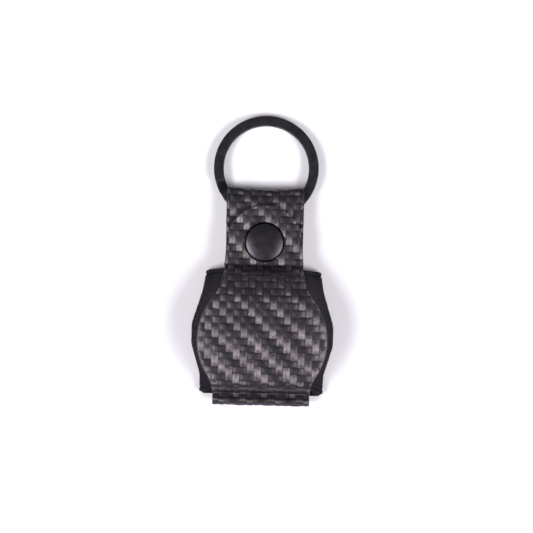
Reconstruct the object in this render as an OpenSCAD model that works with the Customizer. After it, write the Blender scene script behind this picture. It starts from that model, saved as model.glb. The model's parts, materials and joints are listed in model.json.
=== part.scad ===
// Key organiser: a folded leather strap that carries a split ring in its loop,
// with an elastic sleeve round a coin tag, and a flap closed by a press stud.
// Millimetres. X is across the strap, Y runs towards the key ring, Z is up,
// out of the front. The origin is on the back face, at the middle of the tag.

/* [Strap] */
// Width of the strap in the loop that carries the ring
strap_w = 22; // [21:0.25:22.5]
// Width of the strap at the bottom fold
fold_w = 27.6; // [26:0.2:28]
// Radius of the round part that covers the tag
round_r = 18.35; // [18:0.05:18.6]
// Width of the flap at the press stud
flap_end_w = 21.2; // [20:0.2:21.6]
// Thickness of the woven-look outer leather
face_t = 0.45; // [0.35:0.05:0.5]
// Thickness of the inner lining leather
lining_t = 0.65; // [0.5:0.05:0.65]

/* [Elastic sleeve] */
// Half of the sleeve's greatest width
sleeve_half_w = 20.2; // [20:0.05:20.4]
// Thickness of the elastic
elastic_t = 1.05; // [0.9:0.05:1.1]
// Stitches in each row of the back seam
seam_stitches = 13; // [9:1:15]

/* [Press stud] */
// Diameter of the domed cap
cap_d = 11.2; // [10:0.2:12]
// Height of the cap's dome above its rim
cap_dome = 1.5; // [1.2:0.1:1.8]
// Diameter of the flange of the post on the back
post_flange_d = 9; // [8:0.2:9.6]

/* [Key ring] */
// Outer diameter of the split ring
ring_d = 30; // [29.6:0.1:30.2]
// Width of the ring's flat wire, seen from the front
ring_wire_w = 2.8; // [2.6:0.1:2.9]
// Thickness of one turn of the wire
ring_wire_t = 1.07; // [0.9:0.01:1.08]
// Tilt of the ring, with its far edge down
ring_tilt = 3.4; // [2.8:0.1:3.6]
// Angle round the ring of the free end of its upper turn
ring_end_angle = 197.7; // [190:0.1:210]

/* [Tag] */
// Diameter of the coin tag in the sleeve
tag_d = 31.3; // [30:0.1:31.4]

/* [Hidden] */
$fn = 96;
leather_t = face_t + lining_t;

// Strap heights and lengths
back_z = 1.2;
stud_back_z = 0.75;
loop_back_z = 0;
loop_front_z = 5.53;
loop_end_y = 42;
tail_z = 3;
tail_end_y = 20.3;
fold_y = -20.95;
fold_front_z = 5.2;
fold_r = 1.95;
hinge_z = (back_z + fold_front_z) / 2;
hinge_gap = 0.05;
flap_stud_z = 6;
flap_crown_z = 13.05;
round_y = -2;
stud_y = 25.5;
rivet_r = 1.7;
fold_blend = 8;
tip_r = flap_end_w / 2;

// Tag heights
tag_r = tag_d / 2;
tag_y = 0.25;
tag_base_z = 2.4;
tag_rim_z = 5.2;
tag_top_z = 10.25;

// Ring place
ring_y = 46.75;
ring_turn_gap = 0.06;
ring_t = 2 * ring_wire_t + ring_turn_gap;
ring_z = ring_t / 2 + ring_d / 2 * sin(ring_tilt) + 0.1;
ring_ramp = 15;

// ---- Paths: vertices are [across, up, corner radius] ----

function flat2(v) = [v.x, v.y];
function unit(v) = v / norm(v);
function left_of(d) = [-d.y, d.x];
function turn_of(u, v) = atan2(u.x * v.y - u.y * v.x, u.x * v.x + u.y * v.y);

// A rounded corner as pairs of [point, unit normal on the left]
function corner(a, b, c) =
    let (
        u = unit(flat2(b) - flat2(a)),
        v = unit(flat2(c) - flat2(b)),
        turn = turn_of(u, v),
        side = sign(turn),
        start = flat2(b) - u * b[2] * tan(abs(turn) / 2),
        centre = start + side * b[2] * left_of(u),
        heading = atan2(u.y, u.x),
        steps = max(2, ceil(abs(turn) / 10))
    )
    [
        for (k = [0 : steps])
            let (
                angle = heading + turn * k / steps,
                normal = [-sin(angle), cos(angle)]
            )
            [centre - side * b[2] * normal, normal]
    ];

function end_pair(p, d) = [flat2(p), left_of(unit(d))];

function rounded_path(v) =
    let (last = len(v) - 1)
    concat(
        [end_pair(v[0], flat2(v[1]) - flat2(v[0]))],
        [for (i = [1 : last - 1]) each corner(v[i - 1], v[i], v[i + 1])],
        [end_pair(v[last], flat2(v[last]) - flat2(v[last - 1]))]
    );

// The path's points, moved to the left by the distance d
function beside(path, d) = [for (p = path) p[0] + d * p[1]];
function reversed(list) = [for (i = [len(list) - 1 : -1 : 0]) list[i]];
function mirrored(list) = [for (p = reversed(list)) [-p.x, p.y]];

// The layer of a bent sheet between two distances from its outer face
module layer(path, from, to) {
    polygon(concat(beside(path, from), reversed(beside(path, to))));
}

// Extrudes a side view, drawn as [y, z], across the strap
module across(width = 60) {
    rotate([90, 0, 90])
        linear_extrude(height = width, center = true)
            children();
}

// Extrudes a front view, drawn as [x, y], through the part
module through() {
    translate([0, 0, -5])
        linear_extrude(height = 30)
            children();
}

// ---- Strap ----

// Back panel, ring loop and tail, from the fold's hinge line round to the tail's end
back_path = rounded_path([
    [fold_y, hinge_z - hinge_gap, 0],
    [fold_y, back_z, fold_r],
    [17.9, back_z, 4],
    [19.4, stud_back_z, 4],
    [30.4, stud_back_z, 4],
    [33.6, loop_back_z, 4],
    [loop_end_y, loop_back_z, 1.7],
    [loop_end_y, loop_front_z, 1.7],
    [30.45, loop_front_z, 1.35],
    [29.85, tail_z, 0.3],
    [tail_end_y, tail_z, 0]
]);

// Flap, from its rounded end over the tag and down to the hinge line
flap_path = rounded_path([
    [stud_y + tip_r + 1, flap_stud_z + leather_t, 0],
    [18.9, flap_stud_z + leather_t, 1.2],
    [15.9, flap_crown_z - 2.15, 4],
    [10, flap_crown_z - 0.45, 14],
    [0, flap_crown_z, 60],
    [-10, flap_crown_z - 0.6, 14],
    [-16.3, flap_crown_z - 2, 3],
    [-17.3, fold_front_z, 0.6],
    [fold_y, fold_front_z, fold_r],
    [fold_y, hinge_z + hinge_gap, 0]
]);

function arc_points(centre, r, from, to) =
    let (steps = max(2, ceil(abs(to - from) / 6)))
    [
        for (k = [0 : steps])
            let (a = from + (to - from) * k / steps)
            centre + r * [cos(a), sin(a)]
    ];

// Right side of the front view, from the fold up: straight, blended into the round part
// over the tag, and blended again into the upper strap
function round_side(r, upper_half_w, upper_blend) =
    let (
        low_x = fold_w / 2 + fold_blend,
        low_y = round_y - sqrt(pow(r + fold_blend, 2) - low_x * low_x),
        up_x = upper_half_w + upper_blend,
        up_y = round_y + sqrt(pow(r + upper_blend, 2) - up_x * up_x),
        low_a = atan2(round_y - low_y, low_x),
        up_a = atan2(up_y - round_y, up_x)
    )
    concat(
        [[fold_w / 2, fold_y - 1]],
        arc_points([low_x, low_y], fold_blend, 180, 180 - low_a),
        arc_points([0, round_y], r, -low_a, up_a),
        arc_points([up_x, up_y], upper_blend, 180 + up_a, 180)
    );

// Front view of the back panel, the ring loop and the tail
module back_outline() {
    half_w = strap_w / 2;
    side = concat(
        round_side(round_r + 0.25, half_w, 12),
        [[half_w, 36], [half_w - 0.6, 40], [half_w - 0.6, loop_end_y + 1]]
    );
    polygon(concat(side, mirrored(side)));
}

// Front view of the flap
module flap_outline() {
    side = concat(
        round_side(round_r, tip_r + 0.6, 16),
        arc_points([0, stud_y], tip_r, 0, 90)
    );
    polygon(concat(side, mirrored(side)));
}

module rivet_hole() {
    translate([0, stud_y, -5])
        cylinder(r = rivet_r, h = 30);
}

module back_layer(from, to) {
    difference() {
        intersection() {
            across()
                layer(back_path, from, to);
            through()
                back_outline();
        }
        rivet_hole();
    }
}

module flap_layer(from, to) {
    difference() {
        intersection() {
            across()
                layer(flap_path, from, to);
            through()
                flap_outline();
        }
        rivet_hole();
    }
}

module strap_face() {
    color([0.13, 0.13, 0.14])
        back_layer(0, face_t);
}

module strap_lining() {
    color([0.06, 0.06, 0.065])
        back_layer(face_t, leather_t);
}

module flap_face() {
    color([0.15, 0.15, 0.16])
        flap_layer(0, face_t);
}

module flap_lining() {
    color([0.06, 0.06, 0.065])
        flap_layer(face_t, leather_t);
}

// ---- Elastic sleeve ----

// Right half of the sleeve's cross-section, as [x, z], from the back round to the front
sleeve_section = rounded_path([
    [0, 0, 0],
    [sleeve_half_w, 0, 1.5],
    [sleeve_half_w, 3, 1.6],
    [17.3, 6.5, 5],
    [14.9, 10.25, 3.5],
    [8, 11.37, 14],
    [0, 11.55, 0]
]);

// The sleeve's front line seen from the side, as [y, z], from the top mouth down
sleeve_front = rounded_path([
    [22, 0.2, 0],
    [15.4, 8.8, 2],
    [13.1, 10.2, 2.5],
    [8, 11.25, 14],
    [0, 11.55, 40],
    [-8, 11.3, 14],
    [-13, 10.3, 2.5],
    [-15, 8.9, 2],
    [-19, 4.2, 0]
]);

// Right half of the sleeve's front view, as [x, y], from the bottom mouth up
sleeve_side = rounded_path([
    [17.6, -26, 0],
    [17.6, -12.4, 7],
    [sleeve_half_w, -3.8, 8],
    [sleeve_half_w, 2, 8],
    [17.3, 11.3, 10],
    [16.2, 18, 30],
    [16.2, 26, 0]
]);

// The sleeve's mouths seen from the front, with rounded corners
sleeve_mouths = rounded_path([
    [0, -18.1, 0],
    [12, -18, 20],
    [17.6, -17, 0.8],
    [19, -12, 0],
    [22, 0, 6],
    [17.6, 12, 6],
    [16.2, 17.2, 0.7],
    [11, 17.6, 20],
    [0, 17.7, 0]
]);

module sleeve_body(inset) {
    section = beside(sleeve_section, inset);
    front = beside(sleeve_front, inset);
    side = beside(sleeve_side, inset);
    intersection() {
        rotate([90, 0, 0])
            linear_extrude(height = 60, center = true)
                polygon(concat(section, mirrored(section)));
        across()
            polygon(concat(front, [[-26, -3], [26, -3]]));
        through()
            polygon(concat(side, mirrored(side)));
    }
}

module mouth_cut() {
    through()
        polygon(concat(beside(sleeve_mouths, 0), mirrored(beside(sleeve_mouths, 0))));
}

// Side view of what stays at the bottom mouth: the front layer is the shorter one
module mouth_slope() {
    across()
        polygon([
            [-19, -3],
            [-18.4, 2.2],
            [-15.1, 5.6],
            [-15.1, 20],
            [19, 20],
            [19, -3]
        ]);
}

stitch_pitch = 2.3;
stitch_len = 1.5;
stitch_r = 0.2;
seam_x = 2;

module elastic_sleeve() {
    color([0.04, 0.04, 0.045])
        difference() {
            intersection() {
                sleeve_body(0);
                mouth_cut();
                mouth_slope();
            }
            sleeve_body(elastic_t);
            for (side = [-1, 1]) {
                translate([side * seam_x - 0.4, -16, -0.1])
                    cube([0.8, 32, 0.65]);
            }
        }
}

module sleeve_stitching() {
    color([0.03, 0.03, 0.035])
        for (side = [-1, 1], k = [0 : seam_stitches - 1]) {
            middle = (k - (seam_stitches - 1) / 2) * stitch_pitch;
            translate([side * seam_x, middle, 0.29])
                rotate([90, 0, 0]) {
                    cylinder(r = stitch_r, h = stitch_len, center = true, $fn = 24);
                    for (end = [-1, 1]) {
                        translate([0, 0, end * stitch_len / 2])
                            sphere(r = stitch_r, $fn = 24);
                    }
                }
        }
}

// ---- Press stud ----

module at_stud(z = 0) {
    translate([0, stud_y, z])
        children();
}

// Post: a flange on the back, and a tube through the back panel and the tail
module snap_post() {
    flange_r = post_flange_d / 2;
    color([0.1, 0.1, 0.1])
        at_stud()
            rotate_extrude()
                polygon([
                    [0, 0.25],
                    [0.9, 0.25],
                    [1.15, 0.05],
                    [flange_r - 0.5, 0.05],
                    [flange_r, 0.3],
                    [flange_r, 0.5],
                    [flange_r - 0.3, 0.7],
                    [1.6, 0.7],
                    [1.6, 3.02],
                    [1.5, 3.95],
                    [1.35, 4.1],
                    [0.95, 4.1],
                    [0.95, 0.9],
                    [0, 0.9]
                ]);
}

// Stud: a base on the tail, with the knob that the socket closes on
module snap_stud() {
    color([0.12, 0.12, 0.12])
        at_stud()
            rotate_extrude()
                polygon([
                    [1.65, 3.04],
                    [3.9, 3.04],
                    [4.1, 3.2],
                    [4.05, 3.38],
                    [3.6, 3.55],
                    [2.5, 3.62],
                    [2.15, 3.8],
                    [2.05, 4.1],
                    [2.15, 4.45],
                    [2.38, 4.7],
                    [2.4, 4.85],
                    [2.25, 5.03],
                    [1.95, 5.12],
                    [0, 5.12],
                    [0, 4.5],
                    [1.65, 4.5]
                ]);
}

// Cap: a domed shell with a rolled rim, and the post that holds it in the socket
module snap_cap() {
    cap_r = cap_d / 2;
    rim_z = flap_stud_z + leather_t + 0.02;
    dome_r = (pow(cap_r - 0.15, 2) + cap_dome * cap_dome) / (2 * cap_dome);
    dome_a = asin((cap_r - 0.15) / dome_r);
    color([0.07, 0.07, 0.075])
        at_stud(rim_z)
            rotate_extrude()
                polygon(concat(
                    [
                        [0, -1.65],
                        [1.75, -1.65],
                        [1.75, -1.53],
                        [1.5, -1.48],
                        [1.5, 0.75],
                        [cap_r - 0.8, 0.45],
                        [cap_r - 0.8, 0]
                    ],
                    [[cap_r - 0.25, 0], [cap_r, 0.15], [cap_r, 0.45]],
                    [
                        for (k = [0 : 10])
                            let (a = dome_a * (1 - k / 10))
                            [dome_r * sin(a), 0.6 + cap_dome - dome_r * (1 - cos(a))]
                    ]
                ));
}

// Socket: a cup under the flap whose lip lets the knob in
module snap_socket() {
    color([0.12, 0.12, 0.12])
        at_stud()
            rotate_extrude()
                polygon([
                    [1.6, 5.66],
                    [3.35, 5.66],
                    [3.55, 5.4],
                    [3.55, 4.45],
                    [3.35, 4.32],
                    [2.8, 4.32],
                    [2.75, 4.15],
                    [2.85, 3.98],
                    [3.7, 3.95],
                    [4.1, 4.15],
                    [4.2, 4.5],
                    [4.2, 5.8],
                    [4.05, 5.97],
                    [1.6, 5.97]
                ]);
}

// Spring: an open wire ring inside the socket
module snap_spring() {
    color([0.45, 0.45, 0.45])
        at_stud(4.8)
            rotate([0, 0, 20])
                rotate_extrude(angle = 320)
                    translate([3.08, 0])
                        circle(r = 0.28, $fn = 24);
}

// ---- Tag ----

// Height of the shell off its widest line, as a share, at a share of its radius
function pebble(share, n, m) = pow(1 - pow(share, n), 1 / m);

// Half of the shell's cross-section: the domed top, then the rounded underside
function tag_outline() =
    let (
        top_h = tag_top_z - tag_rim_z,
        under_h = tag_rim_z - tag_base_z,
        ledge_r = 13.1,
        ledge_z = tag_base_z + 1.2
    )
    concat(
        [[0, tag_top_z]],
        [
            for (a = [5 : 5 : 90])
                let (share = sin(a))
                [tag_r * share, tag_rim_z + top_h * pebble(share, 3.2, 2)]
        ],
        [
            for (a = [2.5 : 2.5 : 32.5])
                let (share = cos(a))
                [tag_r * share, tag_rim_z - under_h * pebble(share, 6, 2.5)]
        ],
        [[ledge_r, tag_base_z + 0.12], [ledge_r, ledge_z], [0, ledge_z]]
    );

module tag_shell() {
    color([0.85, 0.85, 0.84])
        translate([0, tag_y])
            difference() {
                rotate_extrude()
                    polygon(tag_outline());
                translate([0, 0, tag_base_z + 1])
                    cylinder(r = 12.4, h = 5.4);
            }
}

module tag_cover() {
    color([0.7, 0.7, 0.72])
        translate([0, tag_y, tag_base_z])
            rotate_extrude()
                polygon([
                    [0, 0],
                    [11.6, 0],
                    [12.6, 0.12],
                    [12.95, 0.4],
                    [12.95, 0.9],
                    [0, 0.9]
                ]);
}

module tag_cell() {
    color([0.75, 0.75, 0.77])
        translate([0, tag_y, tag_base_z + 1.35]) {
            cylinder(r = 9, h = 0.6);
            translate([0, 0, 0.6])
                cylinder(r = 10, h = 2.6);
        }
}

module tag_board() {
    color([0.06, 0.3, 0.16])
        translate([0, tag_y, tag_base_z + 5])
            difference() {
                cylinder(r = 11.9, h = 0.8);
                translate([0, 0, -1])
                    cylinder(r = 3, h = 3);
            }
}

// ---- Split ring ----

module ring_turn(z) {
    outer = ring_d / 2;
    inner = outer - ring_wire_w;
    ease = 0.15;
    translate([0, 0, z])
        rotate([0, 0, ring_end_angle + ring_ramp])
            rotate_extrude(angle = 360 - ring_ramp)
                polygon([
                    [inner + ease, 0],
                    [outer - ease, 0],
                    [outer, ease],
                    [outer, ring_wire_t - ease],
                    [outer - ease, ring_wire_t],
                    [inner + ease, ring_wire_t],
                    [inner, ring_wire_t - ease],
                    [inner, ease]
                ]);
}

// The short ramp that joins the two turns
module ring_jog() {
    outer = ring_d / 2;
    rise = ring_wire_t + ring_turn_gap;
    reach = outer * sin(ring_ramp / 2) + 0.5;
    intersection() {
        difference() {
            cylinder(r = outer, h = ring_t);
            translate([0, 0, -1])
                cylinder(r = outer - ring_wire_w, h = ring_t + 2);
        }
        rotate([0, 0, ring_end_angle + ring_ramp / 2])
            rotate([90, 0, 90])
                linear_extrude(height = 20)
                    polygon([
                        [-reach, 0],
                        [0.7 - reach, 0],
                        [reach - 0.4, rise],
                        [reach, rise],
                        [reach, rise + ring_wire_t],
                        [reach - 0.8, rise + ring_wire_t],
                        [0.3 - reach, ring_wire_t],
                        [-reach, ring_wire_t]
                    ]);
    }
}

module split_ring() {
    color([0.05, 0.05, 0.055])
        translate([0, ring_y, ring_z])
            rotate([-ring_tilt, 0, 0])
                translate([0, 0, -ring_t / 2]) {
                    ring_turn(0);
                    ring_turn(ring_wire_t + ring_turn_gap);
                    ring_jog();
                }
}

strap_face();
strap_lining();
elastic_sleeve();
sleeve_stitching();
snap_stud();
snap_post();
tag_cover();
tag_shell();
tag_cell();
tag_board();
flap_face();
flap_lining();
snap_cap();
snap_socket();
snap_spring();
split_ring();
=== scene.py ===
"""Key organiser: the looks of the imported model, built round its frame.

X is across the strap, Y runs towards the key ring and Z is up, out of the front.
Shapes are worked out in millimetres and become metres when their mesh is made.
"""

import json
import math

import bmesh
import bpy
import numpy as np
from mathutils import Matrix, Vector


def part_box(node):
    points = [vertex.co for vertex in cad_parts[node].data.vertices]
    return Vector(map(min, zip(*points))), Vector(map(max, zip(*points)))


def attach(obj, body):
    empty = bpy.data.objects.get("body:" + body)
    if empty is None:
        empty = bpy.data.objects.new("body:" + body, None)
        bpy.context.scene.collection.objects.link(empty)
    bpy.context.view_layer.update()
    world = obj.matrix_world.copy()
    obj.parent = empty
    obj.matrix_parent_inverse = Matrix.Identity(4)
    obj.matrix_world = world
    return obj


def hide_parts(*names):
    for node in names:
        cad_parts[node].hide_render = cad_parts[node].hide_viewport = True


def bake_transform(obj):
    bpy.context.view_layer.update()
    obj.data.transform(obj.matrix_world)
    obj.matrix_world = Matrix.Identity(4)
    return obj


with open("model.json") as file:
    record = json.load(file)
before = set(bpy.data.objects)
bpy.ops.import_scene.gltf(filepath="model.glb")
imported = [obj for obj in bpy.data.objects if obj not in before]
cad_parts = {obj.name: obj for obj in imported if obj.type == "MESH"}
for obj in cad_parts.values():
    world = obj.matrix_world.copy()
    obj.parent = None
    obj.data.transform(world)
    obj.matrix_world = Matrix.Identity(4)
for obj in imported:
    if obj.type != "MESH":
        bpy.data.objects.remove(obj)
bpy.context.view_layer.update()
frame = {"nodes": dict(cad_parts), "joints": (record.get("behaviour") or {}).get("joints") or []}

MM = 0.001


# ---- Places taken from the frame, in millimetres ----

def box_mm(node):
    """Lowest and highest corner of a CAD node's box."""
    low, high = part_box(node)
    return np.array(low) / MM, np.array(high) / MM


def joint_mm(name):
    """Place and axis of a joint."""
    joint = next(j for j in frame["joints"] if j["name"] == name)
    return np.array(joint["pos_m"]) / MM, Vector(joint["axis"])


cap_low, cap_high = box_mm("snap_cap")
post_low, post_high = box_mm("snap_post")
stud_low, stud_high = box_mm("snap_stud")
socket_low, socket_high = box_mm("snap_socket")
spring_low, spring_high = box_mm("snap_spring")
flap_low, flap_high = box_mm("flap_face")
_, back_high = box_mm("strap_face")
_, sleeve_high = box_mm("elastic_sleeve")
_, stitch_high = box_mm("sleeve_stitching")
ring_low, ring_high = box_mm("split_ring")
hinge_at, _ = joint_mm("flap_hinge")
ring_at, ring_axis = joint_mm("ring_spin")

STUD_Y = (cap_low[1] + cap_high[1]) / 2


# ---- Small tools ----

def smooth(low, high, x):
    """0 below low, 1 above high, and an even S between them."""
    t = np.clip((x - low) / (high - low), 0, 1)
    return t * t * (3 - 2 * t)


def unit(v):
    return v / np.linalg.norm(v)


def rounded_line(vertices, arc_steps=24):
    """Points of a line through (a, b, corner radius) vertices, with an arc at each corner."""
    corners = [np.array(v[:2], float) for v in vertices]
    line = [corners[0]]
    for i in range(1, len(corners) - 1):
        here, radius = corners[i], vertices[i][2] if len(vertices[i]) > 2 else 0
        u = unit(here - corners[i - 1])
        v = unit(corners[i + 1] - here)
        turn = math.atan2(u[0] * v[1] - u[1] * v[0], u @ v)
        start = here - u * radius * math.tan(abs(turn) / 2)
        centre = start + math.copysign(radius, turn) * np.array((-u[1], u[0]))
        for k in range(arc_steps + 1):
            a = turn * k / arc_steps
            c, s = math.cos(a), math.sin(a)
            arm = start - centre
            line.append(centre + (c * arm[0] - s * arm[1], s * arm[0] + c * arm[1]))
    line.append(corners[-1])
    return np.array(line)


def along(line):
    """Distance along a line at each of its points."""
    steps = np.linalg.norm(np.diff(line, axis=0), axis=1)
    return np.concatenate(([0], np.cumsum(steps)))


def arc_points(centre, radius, start, end, steps=24):
    """Points of an arc between two angles in degrees."""
    angles = np.radians(np.linspace(start, end, steps + 1))
    return np.stack((centre[0] + radius * np.cos(angles), centre[1] + radius * np.sin(angles)), 1)


def add_object(name, data):
    """Puts a mesh, light or camera into the scene."""
    added = bpy.data.objects.new(name, data)
    bpy.context.scene.collection.objects.link(added)
    return added


def make_object(name, points, faces, materials, face_materials=None, uv=None):
    """A smooth-shaded mesh object from points in millimetres. uv holds one pair per face corner."""
    mesh = bpy.data.meshes.new(name)
    metres = np.asarray(points, float) * MM
    mesh.from_pydata(metres.tolist(), [], [list(map(int, f)) for f in faces])
    for material in materials:
        mesh.materials.append(material)
    if face_materials is not None:
        mesh.polygons.foreach_set("material_index", np.asarray(face_materials, np.int32))
    if uv is not None:
        layer = mesh.uv_layers.new(name="fabric")
        layer.data.foreach_set("uv", np.asarray(uv, np.float32).ravel())
    edit = bmesh.new()
    edit.from_mesh(mesh)
    bmesh.ops.recalc_face_normals(edit, faces=edit.faces)
    edit.to_mesh(mesh)
    edit.free()
    mesh.polygons.foreach_set("use_smooth", [True] * len(mesh.polygons))
    mesh.update()
    return add_object(name, mesh)


def grid_faces(rows, columns, wrap=False):
    """Quads of a grid of points stored row by row; wrap closes each row into a loop."""
    i, j = np.meshgrid(np.arange(rows - 1), np.arange(columns if wrap else columns - 1), indexing="ij")
    beside = (j + 1) % columns
    here, above = i * columns, (i + 1) * columns
    return np.stack((here + j, here + beside, above + beside, above + j), -1).reshape(-1, 4).tolist()


# ---- Materials ----

class Field:
    """A value in a material's node tree. Its operators add Math nodes."""

    def __init__(self, surface, socket):
        self.surface = surface
        self.socket = socket

    def math(self, operation, *others):
        return self.surface.math(operation, self, *others)

    def __add__(self, other):
        return self.math("ADD", other)

    def __sub__(self, other):
        return self.math("SUBTRACT", other)

    def __mul__(self, other):
        return self.math("MULTIPLY", other)

    __radd__ = __add__
    __rmul__ = __mul__

    def __rsub__(self, other):
        return self.surface.math("SUBTRACT", other, self)


class Surface:
    """A Principled material. Constants are set on its sockets; patterns are Fields linked to them."""

    def __init__(self, name, constants):
        self.material = bpy.data.materials.new(name)
        self.material.use_nodes = True
        self.tree = self.material.node_tree
        self.shader = self.tree.nodes["Principled BSDF"]
        for socket, value in constants.items():
            self.shader.inputs[socket].default_value = value

    def node(self, kind, inputs, settings=None):
        made = self.tree.nodes.new(kind)
        for setting, value in (settings or {}).items():
            setattr(made, setting, value)
        for socket, value in inputs.items():
            self.put(made.inputs[socket], value)
        return made

    def put(self, socket, value):
        if isinstance(value, Field):
            self.tree.links.new(value.socket, socket)
        elif socket.type == "RGBA" and len(value) == 3:
            socket.default_value = (*value, 1)
        else:
            socket.default_value = value

    def math(self, operation, *values):
        inputs = dict(enumerate(values))
        return Field(self, self.node("ShaderNodeMath", inputs, {"operation": operation}).outputs[0])

    def fabric(self):
        """The two fabric coordinates, in millimetres across and along."""
        uv = self.node("ShaderNodeUVMap", {}, {"uv_map": "fabric"})
        split = self.node("ShaderNodeSeparateXYZ", {0: Field(self, uv.outputs[0])})
        return Field(self, split.outputs[0]), Field(self, split.outputs[1])

    def place(self):
        """The point's place in millimetres, as three Fields."""
        coordinate = self.node("ShaderNodeTexCoord", {})
        split = self.node("ShaderNodeSeparateXYZ", {0: Field(self, coordinate.outputs["Object"])})
        return [Field(self, split.outputs[k]) * (1 / MM) for k in range(3)]

    def vector(self, x, y, z=0.0):
        return Field(self, self.node("ShaderNodeCombineXYZ", {0: x, 1: y, 2: z}).outputs[0])

    def noise(self, vector, scale=1.0, detail=2.0, roughness=0.5):
        inputs = {"Vector": vector, "Scale": scale, "Detail": detail, "Roughness": roughness}
        return Field(self, self.node("ShaderNodeTexNoise", inputs).outputs[0])

    def cells(self, vector, scale=1.0):
        inputs = {"Vector": vector, "Scale": scale}
        return Field(self, self.node("ShaderNodeTexVoronoi", inputs).outputs[0])

    def random(self, vector):
        made = self.node("ShaderNodeTexWhiteNoise", {"Vector": vector}, {"noise_dimensions": "3D"})
        return Field(self, made.outputs[0])

    def between(self, value, low, high, out_low=0.0, out_high=1.0):
        """value from low to high, mapped smoothly to out_low to out_high and clamped."""
        inputs = {0: value, 1: low, 2: high, 3: out_low, 4: out_high}
        made = self.node("ShaderNodeMapRange", inputs, {"interpolation_type": "SMOOTHSTEP"})
        return Field(self, made.outputs[0])

    def mix(self, share, a, b):
        """Colour a where share is 0, and b where it is 1."""
        made = self.node("ShaderNodeMix", {}, {"data_type": "RGBA"})
        self.put(made.inputs[0], share)
        self.put(made.inputs[6], a)
        self.put(made.inputs[7], b)
        return Field(self, made.outputs[2])

    def bump(self, height, depth_mm, strength=1.0, normal=None):
        inputs = {"Height": height, "Distance": depth_mm * MM, "Strength": strength}
        if normal is not None:
            inputs["Normal"] = normal
        return Field(self, self.node("ShaderNodeBump", inputs).outputs[0])

    def finish(self, colour, roughness, **patterns):
        """Links patterns to the shader and gives the material."""
        for socket, field in {"Base_Color": colour, "Roughness": roughness, **patterns}.items():
            self.put(self.shader.inputs[socket.replace("_", " ")], field)
        return self.material


TOW = 2.01  # pitch of the weave's tows
FLOAT_X, FLOAT_Y = -7.1, -5.5  # the middle of one lengthwise float on the flap
FLOAT_RELIEF = 0.16  # how far a float stands over where it dives
CROWN_POWER, EDGE_POWER = 2.0, 3.4  # how evenly a float falls to its ends and to its sides
FOLD_PAINTED_SHADE, FOLD_NEAR, FOLD_FAR = 0.38, 8.6, 10.8  # painted shade of the weave round FOLD_S, and where it ends
CURL_PAINTED_SHADE, CURL_NEAR, CURL_FAR = 0.5, 1.6, 3.4  # painted shade of the weave where the loop turns over, round CURL_S, and where it ends


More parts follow.
